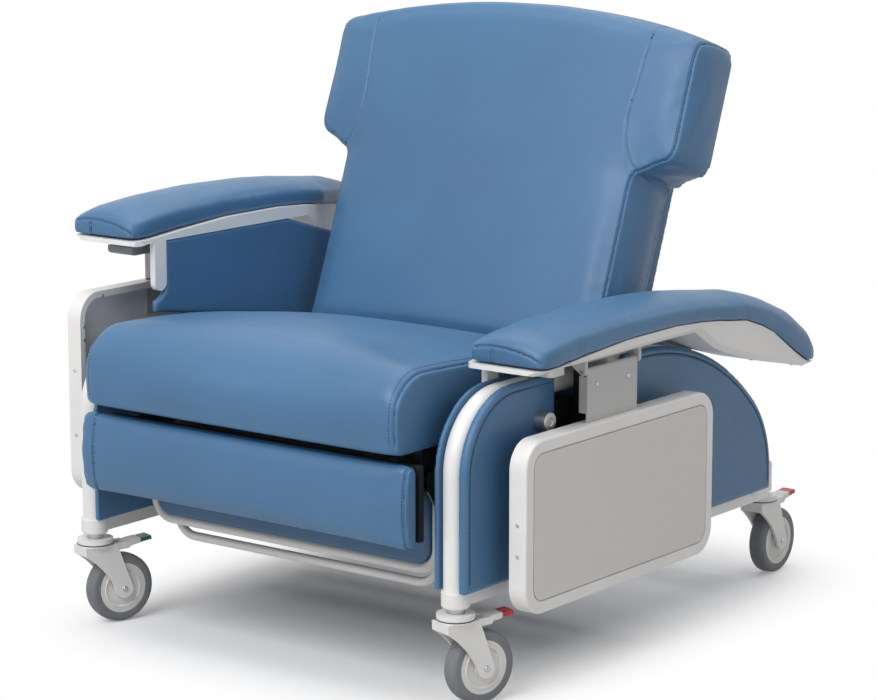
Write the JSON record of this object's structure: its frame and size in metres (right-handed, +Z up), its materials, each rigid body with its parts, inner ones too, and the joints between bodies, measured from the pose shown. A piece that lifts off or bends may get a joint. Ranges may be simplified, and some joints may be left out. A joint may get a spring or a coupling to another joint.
{
  "type": "medical recliner",
  "caption": "Reclining clinical armchair on braked casters with drop arms, fold-up side trays, a winged back and a leg rest that glides out as the back goes down",
  "frame": {"origin": "on the floor under the middle of the chair's bounding box", "axes": "the sitter faces -Y, +X is the sitter's left, +Z is up"},
  "size_m": [1.0668, 1.2175, 1.1083],
  "materials": {
    "blue_vinyl": "smooth satin vinyl",
    "white_paint": "gloss powder coat",
    "white_plastic": "moulded satin",
    "grey_plastic": "moulded satin",
    "tray_sheet": "smooth laminate",
    "black_plastic": "matt",
    "lever_plastic": "matt",
    "black_steel": "satin powder coat",
    "grey_steel": "satin powder coat",
    "zinc": "zinc plated",
    "knob_metal": "satin",
    "tyre_rubber": "satin",
    "red_plastic": "gloss",
    "green_plastic": "gloss",
    "board": "painted board"
  },
  "bodies": {
    "base": {"left_side_frame": "white_paint", "right_side_frame": "white_paint", "left_side_panel": "blue_vinyl", "right_side_panel": "blue_vinyl", "left_inner_panel": "blue_vinyl", "right_inner_panel": "blue_vinyl", "left_arm_guide": "black_plastic", "right_arm_guide": "black_plastic", "rear_cross_tube": "white_paint", "seat_frame": "black_steel", "seat_cushion": "blue_vinyl", "back_pivot_bolts": "zinc", "caster_stems": "zinc", "post_collars": "white_plastic"},
    "back": {"back_cushion": "blue_vinyl", "back_cover": "blue_vinyl", "back_frame": "black_steel"},
    "legrest_slide": {"legrest_slide_frame": "black_steel"},
    "legrest": {"legrest_board": "board", "legrest_pad": "blue_vinyl", "foot_board": "board", "foot_panel": "blue_vinyl", "foot_panel_rim": "white_paint"},
    "foot_loop": {"foot_loop": "white_paint"},
    "right_lever": {"right_arm_lever": "lever_plastic"},
    "left_arm": {"left_arm_pad": "blue_vinyl", "left_arm_shell": "white_plastic", "left_arm_carriage": "grey_steel", "left_arm_inner_panel": "blue_vinyl", "left_tray_rod": "zinc"},
    "left_tray": {"left_tray_frame": "white_plastic", "left_tray_panel": "tray_sheet", "left_tray_bracket": "grey_steel"},
    "left_knob": {"left_arm_knob": "knob_metal"},
    "right_arm": {"right_arm_pad": "blue_vinyl", "right_arm_shell": "white_plastic", "right_arm_carriage": "grey_steel", "right_arm_inner_panel": "blue_vinyl", "right_tray_rod": "zinc"},
    "right_tray": {"right_tray_frame": "white_plastic", "right_tray_panel": "tray_sheet", "right_tray_bracket": "grey_steel"},
    "right_knob": {"right_arm_knob": "knob_metal"},
    "front_left_fork": {"front_left_caster_fork": "white_plastic"},
    "front_left_wheel": {"front_left_caster_hub": "grey_plastic", "front_left_caster_tyre": "tyre_rubber"},
    "front_left_pedal": {"front_left_caster_pedal": "red_plastic"},
    "front_right_fork": {"front_right_caster_fork": "white_plastic"},
    "front_right_wheel": {"front_right_caster_hub": "grey_plastic", "front_right_caster_tyre": "tyre_rubber"},
    "front_right_pedal": {"front_right_caster_pedal": "green_plastic"},
    "rear_left_fork": {"rear_left_caster_fork": "white_plastic"},
    "rear_left_wheel": {"rear_left_caster_hub": "grey_plastic", "rear_left_caster_tyre": "tyre_rubber"},
    "rear_left_pedal": {"rear_left_caster_pedal": "red_plastic"},
    "rear_right_fork": {"rear_right_caster_fork": "white_plastic"},
    "rear_right_wheel": {"rear_right_caster_hub": "grey_plastic", "rear_right_caster_tyre": "tyre_rubber"},
    "rear_right_pedal": {"rear_right_caster_pedal": "red_plastic"}
  },
  "joints": [
    {"name": "back_recline", "type": "hinge", "parent": "base", "child": "back", "pos_m": [0, 0.0554, 0.43], "axis": [-1, 0, 0], "range_deg": [0, 35]},
    {"name": "legrest_glide", "type": "slide", "parent": "base", "child": "legrest_slide", "axis": [0, -1, 0], "range_m": [0, 0.15]},
    {"name": "legrest_lift", "type": "hinge", "parent": "legrest_slide", "child": "legrest", "pos_m": [0, -0.5196, 0.4], "axis": [-1, 0, 0], "range_deg": [0, 80]},
    {"name": "foot_loop_drop", "type": "slide", "parent": "legrest", "child": "foot_loop", "axis": [0, 0, -1], "range_m": [0, 0.12]},
    {"name": "left_arm_lift", "type": "slide", "parent": "base", "child": "left_arm", "axis": [0, 0, 1], "range_m": [0, 0.13]},
    {"name": "right_arm_lift", "type": "slide", "parent": "base", "child": "right_arm", "axis": [0, 0, 1], "range_m": [-0.13, 0]},
    {"name": "left_tray_fold", "type": "hinge", "parent": "left_arm", "child": "left_tray", "pos_m": [0.497, -0.2006, 0.54], "axis": [0, -1, 0], "range_deg": [0, 90]},
    {"name": "right_tray_fold", "type": "hinge", "parent": "right_arm", "child": "right_tray", "pos_m": [-0.497, -0.2006, 0.67], "axis": [0, 1, 0], "range_deg": [0, 90]},
    {"name": "right_lever_squeeze", "type": "hinge", "parent": "right_arm", "child": "right_lever", "pos_m": [-0.44, -0.3384, 0.6785], "axis": [-1, 0, 0], "range_deg": [0, 5], "stiffness_Nm_per_rad": 4, "springref_deg": -2.86},
    {"name": "left_knob_pull", "type": "slide", "parent": "base", "child": "left_knob", "axis": [1, 0, 0], "range_m": [0, 0.008], "stiffness_N_per_m": 400, "springref_m": -0.005},
    {"name": "right_knob_pull", "type": "slide", "parent": "base", "child": "right_knob", "axis": [-1, 0, 0], "range_m": [0, 0.008], "stiffness_N_per_m": 400, "springref_m": -0.005},
    {"name": "front_left_swivel", "type": "hinge", "parent": "base", "child": "front_left_fork", "pos_m": [0.41, -0.5196, 0.15], "axis": [0, 0, 1], "continuous": true},
    {"name": "front_left_roll", "type": "hinge", "parent": "front_left_fork", "child": "front_left_wheel", "pos_m": [0.42452, -0.4749, 0.0635], "axis": [0.9511, -0.309, 0], "continuous": true},
    {"name": "front_left_brake", "type": "hinge", "parent": "front_left_fork", "child": "front_left_pedal", "pos_m": [0.42792, -0.46444, 0.143], "axis": [-0.9511, 0.309, 0], "range_deg": [0, 12]},
    {"name": "front_right_swivel", "type": "hinge", "parent": "base", "child": "front_right_fork", "pos_m": [-0.41, -0.5196, 0.15], "axis": [0, 0, 1], "continuous": true},
    {"name": "front_right_roll", "type": "hinge", "parent": "front_right_fork", "child": "front_right_wheel", "pos_m": [-0.39548, -0.4749, 0.0635], "axis": [0.9511, -0.309, 0], "continuous": true},
    {"name": "front_right_brake", "type": "hinge", "parent": "front_right_fork", "child": "front_right_pedal", "pos_m": [-0.39208, -0.46444, 0.143], "axis": [-0.9511, 0.309, 0], "range_deg": [0, 12]},
    {"name": "rear_left_swivel", "type": "hinge", "parent": "base", "child": "rear_left_fork", "pos_m": [0.375, 0.4984, 0.15], "axis": [0, 0, 1], "continuous": true},
    {"name": "rear_left_roll", "type": "hinge", "parent": "rear_left_fork", "child": "rear_left_wheel", "pos_m": [0.375, 0.5454, 0.0635], "axis": [1, 0, 0], "continuous": true},
    {"name": "rear_left_brake", "type": "hinge", "parent": "rear_left_fork", "child": "rear_left_pedal", "pos_m": [0.375, 0.5564, 0.143], "axis": [-1, 0, 0], "range_deg": [0, 12]},
    {"name": "rear_right_swivel", "type": "hinge", "parent": "base", "child": "rear_right_fork", "pos_m": [-0.375, 0.4984, 0.15], "axis": [0, 0, 1], "continuous": true},
    {"name": "rear_right_roll", "type": "hinge", "parent": "rear_right_fork", "child": "rear_right_wheel", "pos_m": [-0.375, 0.5454, 0.0635], "axis": [1, 0, 0], "continuous": true},
    {"name": "rear_right_brake", "type": "hinge", "parent": "rear_right_fork", "child": "rear_right_pedal", "pos_m": [-0.375, 0.5564, 0.143], "axis": [-1, 0, 0], "range_deg": [0, 12]}
  ],
  "couplings": [
    {"joint": "legrest_glide", "follows": "back_recline", "m_per_rad": 0.2455},
    {"joint": "legrest_lift", "follows": "back_recline", "ratio": 2.2857}
  ]
}
